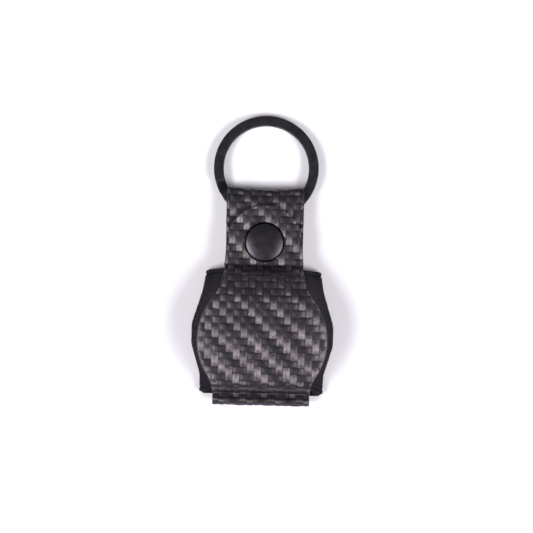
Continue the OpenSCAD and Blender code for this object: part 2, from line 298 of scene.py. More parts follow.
def weave_leather():
    """Twill of flat tows under a clear skin: each tow runs over two and under two.

    Painted shade darkens it round the bottom fold and where the loop turns over, and a painted sheen
    lightens the fold's front lip.
    """
    s = Surface("weave_leather", {
        "Metallic": 0.85, "IOR": 1.5, "Anisotropic": 0.9, "Coat Weight": 0.4, "Coat Roughness": 0.45,
    })
    across, down = s.fabric()
    u = (across - FLOAT_X) * (1 / TOW) + 0.5
    v = (FLOAT_S - down) * (1 / TOW) + 1.0
    column, row = u.math("FLOOR"), v.math("FLOOR")
    from_column, from_row = u - column, v - row
    phase = (column + row).math("FLOORED_MODULO", 4.0)
    weft = phase.math("GREATER_THAN", 1.5)
    warp_along = (phase + from_row) * 0.5
    weft_along = (phase + from_column - 2.0) * 0.5
    run = warp_along + (weft_along - warp_along) * weft
    side = from_column + (from_row - from_column) * weft
    crown = 1.0 - (run * 2.0 - 1.0).math("ABSOLUTE").math("POWER", CROWN_POWER)
    edge = 1.0 - (side * 2.0 - 1.0).math("ABSOLUTE").math("POWER", EDGE_POWER)

    warp_fibres = s.noise(s.vector(across * 6.0, down * 0.5, row * 0.37), 1.0, 3.0, 0.6)
    weft_fibres = s.noise(s.vector(across * 0.5, down * 6.0, column * 0.41), 1.0, 3.0, 0.6)
    fibres = warp_fibres + (weft_fibres - warp_fibres) * weft
    tow_tone = s.random(s.vector(column - column * weft, row * weft, weft))
    float_tone = s.random(s.vector(column + row - phase, column - column * weft, row * weft))
    at = s.vector(across, down)
    cloud = s.noise(at, 0.09, 2.0)
    mottle = s.noise(at, 1.1, 4.0, 0.6)

    # Painted light: the lengthwise tows are painted lighter and the crosswise ones darker, as the
    # painted highlight and painted shade that the side softboxes give tows of one black fibre.
    warp_lit_colour = s.mix(fibres, (0.120, 0.104, 0.111), (0.255, 0.223, 0.236))
    weft_shaded_colour = s.mix(fibres, (0.060, 0.053, 0.060), (0.178, 0.158, 0.174))
    past_lip = down - FOLD_S
    from_lip = past_lip.math("ABSOLUTE")
    from_curl = (down - CURL_S).math("ABSOLUTE")
    shade = s.between(edge, 0.0, 0.75, 0.22, 1.0) * s.between(crown, 0.0, 0.5, 0.5, 1.0)
    shade = shade * s.between(tow_tone, 0.0, 1.0, 0.75, 1.0)
    shade = shade * s.between(float_tone, 0.0, 1.0, 0.55, 1.0)
    # Painted shade: the weave is darkened round the bottom fold and the wall above it, and where the
    # loop turns over.
    shade = shade * s.between(from_lip, FOLD_NEAR, FOLD_FAR, FOLD_PAINTED_SHADE, 1.0)
    shade = shade * s.between(from_curl, CURL_NEAR, CURL_FAR, CURL_PAINTED_SHADE, 1.0)
    shade = shade * s.between(cloud, 0.3, 0.7, 0.85, 1.0) * s.between(mottle, 0.3, 0.65, 0.45, 1.0)
    colour = s.mix(shade, (0.011, 0.0095, 0.012), s.mix(weft, warp_lit_colour, weft_shaded_colour))
    # Painted sheen: the fold's front lip is lightened to a smooth pale purple-grey.
    wear_and_sheen = s.between(past_lip, 0.7, 1.9) * s.between(past_lip, 3.5, 5.5, 1.0, 0.0)
    colour = s.mix(wear_and_sheen * s.between(mottle, 0.2, 0.8, 0.7, 0.95), colour, (0.125, 0.105, 0.145))

    height = crown * edge + fibres * 0.1 + mottle * 0.2
    grain = s.noise(at, 5.0, 4.0, 0.6)
    skin = s.bump(grain, 0.02, 0.4)
    tangent = s.node("ShaderNodeTangent", {}, {"direction_type": "UV_MAP", "uv_map": "fabric"})
    return s.finish(
        colour, s.between(fibres, 0.25, 0.75, 0.58, 0.48), Normal=s.bump(height, 0.16, 1.0, skin),
        Anisotropic_Rotation=weft * 0.25, Tangent=Field(s, tangent.outputs[0]))


def edge_paint():
    """Painted leather edge: smooth, black, with slight brush marks."""
    s = Surface("edge_paint", {"IOR": 1.5, "Specular IOR Level": 0.4})
    x, y, z = s.place()
    marks = s.noise(s.vector(x, y, z * 3.0), 2.2, 3.0)
    colour = s.mix(marks, (0.006, 0.006, 0.007), (0.022, 0.020, 0.022))
    return s.finish(colour, s.between(marks, 0.2, 0.8, 0.42, 0.6), Normal=s.bump(marks, 0.03, 0.5))


def lining_leather():
    """Fine pebbled black leather."""
    s = Surface("lining_leather", {"IOR": 1.47, "Specular IOR Level": 0.35})
    across, down = s.fabric()
    at = s.vector(across, down)
    pebbles = s.cells(at, 2.3)
    pores = s.noise(at, 6.0, 4.0, 0.6)
    tone = s.noise(at, 0.25, 3.0)
    colour = s.mix(tone, (0.009, 0.009, 0.010), (0.024, 0.023, 0.025))
    height = s.between(pebbles, 0.0, 0.5) * 0.7 + pores * 0.3
    return s.finish(colour, s.between(pores, 0.3, 0.7, 0.55, 0.75), Normal=s.bump(height, 0.06, 0.8))


CORD_PITCH = 0.68  # pitch of the cords that run round the elastic
THREAD_PITCH = 0.72  # pitch of the fine threads that cross them
BAND = 35.4  # width of the webbing, from one mouth of the sleeve to the other
HEM_AT, HEM_FADE = 16.6, 0.25  # dark line inside each selvage, measured from the band's middle


def elastic_webbing():
    """Woven elastic: cords round the tube, fine threads across them and a dark line by each selvage."""
    s = Surface("elastic_webbing", {"IOR": 1.45, "Specular IOR Level": 0.12, "Sheen Weight": 0.02})
    around, up = s.fabric()
    cord = (up * (math.pi / CORD_PITCH)).math("SINE").math("ABSOLUTE")
    thread = (around * (math.pi / THREAD_PITCH)).math("SINE").math("ABSOLUTE")
    fuzz = s.noise(s.vector(around * 2.0, up * 9.0), 1.0, 4.0, 0.65)
    tone = s.noise(s.vector(around * 0.2, up * 0.5), 1.0, 2.0)
    light = thread.math("POWER", 3.0) * s.between(fuzz, 0.2, 0.8, 0.6, 1.1)
    light = light * s.between(tone, 0.3, 0.7, 0.8, 1.1)
    off = (up - BAND / 2).math("ABSOLUTE")
    hem = s.between(off, HEM_AT - HEM_FADE, HEM_AT) * s.between(off, HEM_AT, HEM_AT + HEM_FADE, 1.0, 0.0)
    light = light * (1.0 - hem * 0.9)
    colour = s.mix(light, (0.0002, 0.0002, 0.0003), (0.044, 0.039, 0.054))
    height = cord * 0.08 + thread * 1.3 + fuzz * 0.12
    return s.finish(colour, s.between(fuzz, 0.2, 0.8, 0.9, 0.7), Normal=s.bump(height, 0.11, 1.0))


THREAD_TWIST = 0.28  # length of one turn of the sewing thread's twist


def sewing_thread():
    """Twisted polyester thread."""
    s = Surface("sewing_thread", {"IOR": 1.5, "Specular IOR Level": 0.4, "Sheen Weight": 0.2})
    x, y, z = s.place()
    twist = ((y + x * 0.8 + z * 0.8) * (2 * math.pi / THREAD_TWIST)).math("SINE") * 0.5 + 0.5
    fuzz = s.noise(s.vector(x, y, z), 8.0, 3.0)
    colour = s.mix(twist * fuzz, (0.010, 0.010, 0.011), (0.045, 0.043, 0.048))
    return s.finish(colour, s.between(fuzz, 0.2, 0.8, 0.6, 0.45), Normal=s.bump(twist, 0.03, 0.8))


SHADE_COLOUR = (0.001, 0.001, 0.0015)  # the dark line round the foot of the cap's dome
SHADE_FADE = 0.06


def coated_metal(name, dark, light, worn, rough, metallic, grain=0.004, shaded_below=None):
    """Coated metal with a fine eggshell texture, worn lighter along its edges."""
    s = Surface(name, {"Metallic": metallic, "IOR": 1.5, "Specular IOR Level": 0.3})
    x, y, z = s.place()
    at = s.vector(x, y, z)
    shell = s.noise(at, 9.0, 4.0, 0.6)
    smears = s.noise(at, 0.6, 3.0)
    wear = s.node("ShaderNodeAttribute", {}, {"attribute_name": "wear"})
    wear_and_sheen = Field(s, wear.outputs["Fac"]) * s.between(smears, 0.35, 0.7)
    coat = s.mix(smears, dark, light)
    if shaded_below is not None:
        lit = s.between(z, shaded_below - SHADE_FADE, shaded_below + SHADE_FADE)
        coat = s.mix(lit, SHADE_COLOUR, coat)
    rough = s.between(smears, 0.2, 0.8, rough - 0.05, rough + 0.06) - wear_and_sheen * 0.08
    return s.finish(s.mix(wear_and_sheen, coat, worn), rough, Normal=s.bump(shell, grain, 0.6))


def spring_steel():
    """Drawn steel wire with die marks along it."""
    s = Surface("spring_steel", {"Metallic": 1.0})
    x, y, z = s.place()
    marks = s.noise(s.vector(x, y, z * 14.0), 1.5, 3.0)
    colour = s.mix(marks, (0.30, 0.29, 0.28), (0.52, 0.51, 0.49))
    return s.finish(colour, s.between(marks, 0.2, 0.8, 0.24, 0.36), Normal=s.bump(marks, 0.01, 0.5))


def tag_steel():
    """Polished steel cover with faint turned rings and rubbing marks."""
    s = Surface("tag_steel", {"Metallic": 1.0})
    x, y, z = s.place()
    radius = (x * x + y * y).math("SQRT")
    turned = s.noise(s.vector(radius * 10.0, 0.0), 1.0, 3.0)
    rubs = s.noise(s.vector(x, y * 6.0, z), 0.9, 4.0, 0.7)
    colour = s.mix(rubs, (0.42, 0.42, 0.43), (0.66, 0.66, 0.67))
    return s.finish(colour, s.between(rubs, 0.3, 0.7, 0.14, 0.3), Normal=s.bump(turned, 0.008, 0.4))


def tag_plastic():
    """Glossy white moulded plastic with fine handling marks."""
    s = Surface("tag_plastic", {"IOR": 1.48, "Coat Weight": 0.4, "Coat Roughness": 0.08})
    x, y, z = s.place()
    marks = s.noise(s.vector(x, y * 3.0, z), 1.4, 4.0, 0.7)
    colour = s.mix(marks, (0.70, 0.70, 0.69), (0.80, 0.80, 0.79))
    return s.finish(colour, s.between(marks, 0.3, 0.8, 0.2, 0.32), Normal=s.bump(marks, 0.01, 0.3))


def circuit_board():
    """Green solder resist over a raised pattern of traces."""
    s = Surface("circuit_board", {"IOR": 1.5})
    x, y, z = s.place()
    traces = s.cells(s.vector(x, y), 1.1)
    lines = s.between(traces, 0.28, 0.34)
    tone = s.noise(s.vector(x, y, z), 2.0, 3.0)
    base = s.mix(tone, (0.006, 0.060, 0.030), (0.010, 0.095, 0.045))
    rough = s.between(tone, 0.3, 0.7, 0.3, 0.42)
    return s.finish(s.mix(lines, base, (0.020, 0.150, 0.070)), rough, Normal=s.bump(lines, 0.03, 0.6))


def floor_paper():
    """Matt white sweep with a faint tooth."""
    s = Surface("floor_paper", {"Specular IOR Level": 0.15})
    x, y, z = s.place()
    tooth = s.noise(s.vector(x, y, z), 1.5, 3.0)
    colour = s.mix(tooth, (0.835, 0.830, 0.850), (0.850, 0.845, 0.865))
    rough = s.between(tooth, 0.3, 0.7, 0.85, 0.95)
    return s.finish(colour, rough)


# ---- Leather strip: one line from the flap's tip, round the fold and the loop, to the tail ----

FACE_T = 0.45  # thickness of the outer leather
LEATHER_T = 1.1  # thickness of both layers together
FOLD_HALF_W = 13.8  # half width at the bottom fold
UPPER_HALF_W = 11  # half width of the loop and the tail
ROUND_Y = -2  # middle of the round part over the tag
FOLD_Y, TIP_Y = flap_low[1], flap_high[1]
CROWN_Z = flap_high[2]
FLAP_TOP_Z = cap_low[2] + 1.63  # the flap's face under the cap
BACK_Z = 1.2  # the back panel's outer face, inside the sleeve
LOW_BACK_Z, LOOP_BACK_Z = 0.75, 0.2  # the same face above the sleeve, and at the loop
FOLD_TOP_Z = 2 * hinge_at[2] - BACK_Z
TAIL_Z = stud_low[2] - 0.04
LOOP_TOP_Z = back_high[2]
LOOP_END_Y = back_high[1] - 1.3  # the CAD's loop ends 1.3 mm further out than the photo's
TIP_R = TIP_Y - STUD_Y


class Strip:
    """The strip's outer line seen from the side, by distance along it, with its inward normal."""

    def __init__(self, vertices, step=0.02):
        line = rounded_line(vertices)
        at = along(line)
        self.length = at[-1]
        self.s = np.linspace(0, self.length, int(self.length / step) + 1)
        self.y = np.interp(self.s, at, line[:, 0])
        self.z = np.interp(self.s, at, line[:, 1])
        blur = np.ones(15) / 15
        dy = np.convolve(np.pad(np.gradient(self.y), 7, "edge"), blur, "valid")
        dz = np.convolve(np.pad(np.gradient(self.z), 7, "edge"), blur, "valid")
        size = np.hypot(dy, dz)
        self.ny, self.nz = -dz / size, dy / size

    def at(self, s, depth):
        """y and z at distance s along the line and depth below the outer face."""
        y = np.interp(s, self.s, self.y) + depth * np.interp(s, self.s, self.ny)
        z = np.interp(s, self.s, self.z) + depth * np.interp(s, self.s, self.nz)
        return y, z

    def where(self, y, s_from, s_to):
        """Distance along the line where it first passes y, between two distances."""
        chosen = (self.s >= s_from) & (self.s <= s_to)
        s, gap = self.s[chosen], self.y[chosen] - y
        crossing = np.nonzero(np.diff(np.sign(gap)))[0][0]
        return s[crossing]


# Corners of the strip's side view: y, z and the radius each is rounded to.
STRIP = Strip([
    (TIP_Y, FLAP_TOP_Z),
    (18.9, FLAP_TOP_Z, 1.2),  # foot of the rise over the tag
    (15.9, CROWN_Z - 2.15, 4), (10, CROWN_Z - 0.45, 14), (0, CROWN_Z, 60),
    (-10, CROWN_Z - 0.6, 14),
    (-15.5, CROWN_Z - 1.55, 2.4),  # top of the wall above the fold
    (-17.25, FOLD_TOP_Z - 0.6, 0.5),
    (-19.5, FOLD_TOP_Z + 0.1, 1.2),  # the fold's front lip
    (FOLD_Y, FOLD_TOP_Z - 0.5, 1.0), (FOLD_Y, BACK_Z, 1.95), (17.9, BACK_Z, 4),
    (19.4, LOW_BACK_Z, 4), (30.4, LOW_BACK_Z, 4), (33.6, LOOP_BACK_Z, 4),
    (LOOP_END_Y, LOOP_BACK_Z, 1.7), (LOOP_END_Y, 5.1, 1.15), (37.4, LOOP_TOP_Z, 6),
    (30.45, LOOP_TOP_Z, 1.35),
    (29.85, TAIL_Z, 0.3),  # the tail steps down to pass under the flap's tip
    (20.3, TAIL_Z),
])

# Distances along the strip.
FLAP_FRONT_END = STRIP.where(-18, 0, STRIP.length)
JOIN_S = STRIP.where(-15, FLAP_FRONT_END + 1, STRIP.length)
LOOP_S = STRIP.where(LOOP_END_Y - 0.05, JOIN_S, STRIP.length) + 1.0
FLAP_STUD_S = STRIP.where(STUD_Y, 0, FLAP_FRONT_END)
BACK_STUD_S = STRIP.where(STUD_Y, JOIN_S, LOOP_S)
TAIL_STUD_S = STRIP.where(STUD_Y, LOOP_S, STRIP.length)
FLOAT_S = STRIP.where(FLOAT_Y, 0, FLAP_FRONT_END)
FOLD_S = STRIP.where(-19, 0, STRIP.length)
CURL_S = STRIP.where(39.0, LOOP_S, STRIP.length)

CAP_DROP = 1.35  # how far the cap's dome falls from its middle to its shoulder

# Finishes, each made once.

WEAVE = weave_leather()
EDGE = edge_paint()
LINING = lining_leather()
ELASTIC = elastic_webbing()
THREAD = sewing_thread()
CAP_METAL = coated_metal(
    "cap_metal", (0.034, 0.032, 0.037), (0.051, 0.048, 0.056), (0.08, 0.08, 0.085), 0.31, 0.85, 0.0003,
    cap_high[2] - CAP_DROP)
SNAP_METAL = coated_metal(
    "snap_metal", (0.050, 0.050, 0.054), (0.075, 0.074, 0.078), (0.22, 0.21, 0.21), 0.34, 0.95)
RING_METAL = coated_metal(
    "ring_metal", (0.005, 0.0045, 0.006), (0.010, 0.009, 0.012), (0.08, 0.08, 0.085), 0.46, 0.1)
SPRING = spring_steel()


def round_side(radius, upper_half_w, upper_blend):
    """Front view of one edge from the fold up: [half width, y], blended into the round part and out."""
    low_blend = 8  # radius of the hollow between the fold and the round part
    low_x = FOLD_HALF_W + low_blend
    low_y = ROUND_Y - math.sqrt((radius + low_blend) ** 2 - low_x ** 2)
    up_x = upper_half_w + upper_blend
    up_y = ROUND_Y + math.sqrt((radius + upper_blend) ** 2 - up_x ** 2)
    low_a = math.degrees(math.atan2(ROUND_Y - low_y, low_x))
    up_a = math.degrees(math.atan2(up_y - ROUND_Y, up_x))
    return np.concatenate((
        [[FOLD_HALF_W, FOLD_Y - 1]],
        arc_points((low_x, low_y), low_blend, 180, 180 - low_a),
        arc_points((0, ROUND_Y), radius, -low_a, up_a, 60),
        arc_points((up_x, up_y), upper_blend, 180 + up_a, 180),
    ))


FLAP_SIDE = np.concatenate((
    round_side(flap_high[0], TIP_R + 0.6, 16),
    [[TIP_R, STUD_Y], [TIP_R, TIP_Y]],
))
BACK_SIDE = np.concatenate((
    round_side(back_high[0], UPPER_HALF_W, 12),
    [[UPPER_HALF_W, LOOP_END_Y + 2]],
))


RING_NIP, NIP_REACH = 0.7, 2.4  # how much narrower each side is where the ring presses in, and how far


def half_width(s):
    """Half the strip's width at distance s."""
    y = np.interp(s, STRIP.s, STRIP.y)
    flap = np.interp(y, FLAP_SIDE[:, 1], FLAP_SIDE[:, 0])
    back = np.interp(y, BACK_SIDE[:, 1], BACK_SIDE[:, 0])
    pinch = RING_NIP * np.exp(-((s - LOOP_S) / NIP_REACH) ** 4)
    return np.where(s < FLAP_FRONT_END, flap, back - pinch)


def weave_height(across, down):
    """Height of the weave over its lowest place, from 0 to 1, as weave_leather draws it."""
    u, v = (across - FLOAT_X) / TOW + 0.5, (FLOAT_S - down) / TOW + 1
    column, row = np.floor(u), np.floor(v)
    phase = np.mod(column + row, 4)
    weft = phase > 1.5
    run = np.where(weft, phase + u - column - 2, phase + v - row) / 2
    side = np.where(weft, v - row, u - column)
    crown = 1 - np.abs(2 * run - 1) ** CROWN_POWER
    edge = 1 - np.abs(2 * side - 1) ** EDGE_POWER
    return crown * edge


DROOP_AT = 18.3  # where the flap's sides, over the tag, hang 1 mm low


def settle(points, s):
    """Leather's own give: the flap droops at its sides over the tag, the loop and the fold are wavy."""
    x, y, z = points.T
    over_tag = smooth(-16.5, -12, y) * smooth(19, 13, y) * (s < FLAP_FRONT_END)
    droop = np.abs(x / DROOP_AT) ** 3 * over_tag
    loop = smooth(LOOP_S - 9, LOOP_S - 1, s) * smooth(LOOP_S + 7, LOOP_S + 1, s)
    corners = 0.7 * (np.abs(x) / UPPER_HALF_W) ** 5
    dent = 0.42 * np.exp(-((x - 0.6) / 1.8) ** 2)
    loop_wave = corners - dent + 0.12 * np.sin(x * 0.8 + 1.4)
    fold_wave = 0.04 * np.sin(x * 0.55 + 0.8) * smooth(-17.6, -20, y)
    return np.stack((x, y + loop_wave * loop + fold_wave, z - droop), 1)


def place_leather(flat, depth):
    """Folds points of the flat strip, (across, distance), into their places at a depth."""
    y, z = STRIP.at(flat[:, 1], depth)
    return settle(np.stack((flat[:, 0], y, z), 1), flat[:, 1])


def strip_rows(s_from, s_to, columns, step):
    """Straight rows of the flat strip between two distances along it."""
    t = np.linspace(-1, 1, columns)
    s = np.linspace(s_from, s_to, max(2, int(round((s_to - s_from) / step)) + 1))
    return np.stack((half_width(s)[:, None] * t, np.repeat(s[:, None], columns, 1)), -1)


def flap_grid(columns, step):
    """The flap laid flat: rows bend from its round tip into straight ones below the stud."""
    block_s = TIP_R + 3.5
    t = np.linspace(-1, 1, columns)
    arc = np.stack((TIP_R * np.sin(t * math.pi / 2), TIP_R - TIP_R * np.cos(t * math.pi / 2)), -1)
    rest = strip_rows(block_s, JOIN_S, columns, step)
    rows = int(block_s / step)
    share = (np.arange(rows) / rows)[:, None, None]
    return np.concatenate((arc * (1 - share) + rest[0] * share, rest))


def back_grid(columns, step):
    """The back panel, the loop and the tail laid flat."""
    return strip_rows(JOIN_S + 0.1, STRIP.length, columns, step)


RIM = ((0.0, 0.13), (0.035, 0.04), (0.12, 0.0))  # depth and inset of the rounded edge's steps


def leather_piece(name, grid, top, bottom, holes, materials, relief=0.0):
    """A closed layer of the strip between two depths, with rounded edges and round holes."""
    rows, columns = grid.shape[:2]
    flat = grid.reshape(-1, 2)
    index = np.arange(rows * columns).reshape(rows, columns)
    rim = np.concatenate((index[0, :-1], index[:-1, -1], index[-1, :0:-1], index[:0:-1, 0]))
    loop = flat[rim]
    tangent = np.roll(loop, -1, 0) - np.roll(loop, 1, 0)
    outward = np.stack((tangent[:, 1], -tangent[:, 0]), 1)
    outward /= np.linalg.norm(outward, axis=1)[:, None]
    if (outward * (loop - flat.mean(0))).sum() < 0:
        outward = -outward

    # The faces in the holes go, and the points left round each hole move onto its circle.
    faces = np.array(grid_faces(rows, columns))
    cut = np.zeros(len(flat), bool)
    for s, radius in holes:
        cut |= np.linalg.norm(flat - (0, s), axis=1) < radius
    kept = faces[~cut[faces].any(1)]
    edges = set()
    for k in range(4):
        for a, b in zip(kept[:, k], kept[:, (k + 1) % 4]):
            edges ^= {(min(a, b), max(a, b))}
    rim_points = set(rim.tolist())
    hole_edges = [e for e in edges if not (e[0] in rim_points and e[1] in rim_points)]
    flat = flat.copy()
    for point in {p for e in hole_edges for p in e}:
        s, radius = min(holes, key=lambda h: abs(h[0] - flat[point, 1]))
        arm = flat[point] - (0, s)
        flat[point] = (0, s) + arm * radius / np.linalg.norm(arm)

    # The top face, the bottom face, and between them the rounded edge's steps.
    inside = half_width(flat[:, 1]) - np.abs(flat[:, 0])
    lift = relief * weave_height(flat[:, 0], flat[:, 1]) * smooth(0.1, 0.9, inside)
    steps = [(top + d, inset) for d, inset in RIM] + [(bottom - d, inset) for d, inset in RIM[::-1]]
    inset_flat = flat.copy()
    inset_flat[rim] -= RIM[0][1] * outward
    flat_bottom = np.full(len(flat), bottom)
    points = [place_leather(inset_flat, top - lift), place_leather(inset_flat, flat_bottom)]
    uv = [inset_flat, inset_flat]
    for depth, inset in steps[1:-1]:
        ring = flat[rim] - inset * outward
        points.append(place_leather(ring, np.full(len(ring), depth)))
        uv.append(ring)
    count, n = len(flat), len(rim)
    rings = [rim] + [2 * count + k * n + np.arange(n) for k in range(len(steps) - 2)] + [rim + count]
    walls = []
    for upper, lower in zip(rings[:-1], rings[1:]):
        walls += np.stack((upper, lower, np.roll(lower, -1), np.roll(upper, -1)), 1).tolist()
    walls += [[a, b, b + count, a + count] for a, b in hole_edges]
    faces = kept.tolist() + (kept[:, ::-1] + count).tolist() + walls
    face_paint = np.where(np.isin(kept, rim).any(1), 2, 0)
    paint = face_paint.tolist() + [1] * len(kept) + [2] * len(walls)

    used, packed = np.unique(np.array(faces), return_inverse=True)
    faces = packed.reshape(-1, 4)
    points, uv = np.concatenate(points)[used], np.concatenate(uv)[used]
    return make_object(name, points, faces, materials, paint, uv[faces].reshape(-1, 2))


FACE_GRID = 124, 0.3  # points across the outer leather, and the step along it
LINING_GRID = 76, 0.5
HOLE_R = 1.7
FLAP_HOLES = [(FLAP_STUD_S, HOLE_R)]
BACK_HOLES = [(BACK_STUD_S, HOLE_R), (TAIL_STUD_S, HOLE_R)]


def build_layers(part, grid, holes):
    """The outer leather and the lining of one part of the strip."""
    face = leather_piece(
        f"{part}_leather_face", grid(*FACE_GRID), 0, FACE_T, holes, [WEAVE, LINING, EDGE], FLOAT_RELIEF)
    lining = leather_piece(
        f"{part}_leather_lining", grid(*LINING_GRID), FACE_T, LEATHER_T, holes, [LINING, LINING, EDGE])
    return (face, f"{part}_face", "outer_leather"), (lining, f"{part}_lining", "lining_leather")


def build_leather():
    """The flap, which bends at the fold, and the rest of the strip."""
    for piece, node, slot in build_layers("flap", flap_grid, FLAP_HOLES):
        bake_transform(piece)
        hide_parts(node)
    for piece, node, slot in build_layers("strap", back_grid, BACK_HOLES):
        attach(piece, "strap")
        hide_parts(node)


# ---- Elastic sleeve ----

ELASTIC_T = 1.05
SLEEVE_HALF_W = sleeve_high[0]
SLEEVE_TOP_Z = sleeve_high[2]
CORD_RELIEF = 0.13  # how far a cord stands over the groove beside it
SEAM_X = stitch_high[0] - 0.2  # middle of each row of stitches
SEAM_DEPTH = 0.42  # depth of the groove that each row of stitches pulls into the webbing

# The sleeve's front surface seen from the side: y, z, corner radius.
SLEEVE_FRONT = rounded_line([
    (22, 0.2), (15.4, SLEEVE_TOP_Z - 2.75, 2), (13.1, SLEEVE_TOP_Z - 1.35, 2.5),
    (8, SLEEVE_TOP_Z - 0.3, 14), (0, SLEEVE_TOP_Z, 40), (-8, SLEEVE_TOP_Z - 0.25, 14),
    (-13, SLEEVE_TOP_Z - 1.25, 2.5), (-15, SLEEVE_TOP_Z - 2.65, 2), (-19, 4.2),
])[::-1]
# Its side seen from the front: half width, y, corner radius.
SLEEVE_SIDE = rounded_line([
    (17.6, -26), (17.6, -12.4, 7), (SLEEVE_HALF_W, -3.8, 8), (SLEEVE_HALF_W, 2, 8),
    (17.3, 11.3, 10), (16.2, 18, 30), (16.2, 26),
])
SLEEVE_COLUMNS = 220


def sleeve_section(y):
    """x, z and distance round the sleeve at y, from the back's middle; denser at the seam and sides."""
    half_w = np.interp(y, SLEEVE_SIDE[:, 1], SLEEVE_SIDE[:, 0])
    top = np.interp(y, SLEEVE_FRONT[:, 0], SLEEVE_FRONT[:, 1])
    wide, tall = half_w / SLEEVE_HALF_W, top / SLEEVE_TOP_Z
    full = smooth(17.5, 9, abs(y))
    right = rounded_line([
        (0, 0), (half_w, 0, 1.15), (half_w, 2.35 + 0.65 * full, 0.75 + 0.75 * full),
        (17.3 * wide, 3.0 + 3.5 * full, 2.5 + 2.5 * full),
        (14.9 * wide, 4.6 + 5.65 * full, 2.5 + 1.0 * full),
        (8 * wide, 11.37 * tall, 8 + 6 * full), (0, top),
    ], 16)
    line = np.concatenate((right, right[-2::-1] * (-1, 1)))
    at = along(line)
    fine = np.linspace(0, at[-1], 4000)
    x, z = np.interp(fine, at, line[:, 0]), np.interp(fine, at, line[:, 1])
    near_seam = np.exp(-((np.abs(x) - SEAM_X) / 0.7) ** 2) * (z < 1)
    near_side = np.exp(-((np.abs(x) - half_w) / 1.6) ** 2)
    weight = 1 + 3 * near_seam + 1.2 * near_side
    share = np.concatenate(([0], np.cumsum((weight[1:] + weight[:-1]) / 2)))
    columns = np.interp(np.arange(SLEEVE_COLUMNS) / SLEEVE_COLUMNS * share[-1], share, fine)
    return np.interp(columns, fine, x), np.interp(columns, fine, z), columns


def mouth_top(x):
    """y of the upper mouth, which draws back at its corners."""
    side = np.abs(x)
    drawn = 17.7 - 0.45 * smooth(11, 16.2, side) - 0.15 * smooth(14.6, 16.4, side) ** 3
    return drawn + 0.06 * np.sin(x * 0.8)


def mouth_bottom(x, z):
    """y of the lower mouth, which is drawn up at the front by the tag."""
    front = smooth(1.6, 5.0, z)
    back_y = -18.0 + 0.7 * smooth(16.2, 17.8, np.abs(x)) ** 2 + 0.05 * np.sin(x * 0.7)
    front_y = -15.3 - 0.75 * smooth(11, 16, np.abs(x))
    return back_y + (front_y - back_y) * front


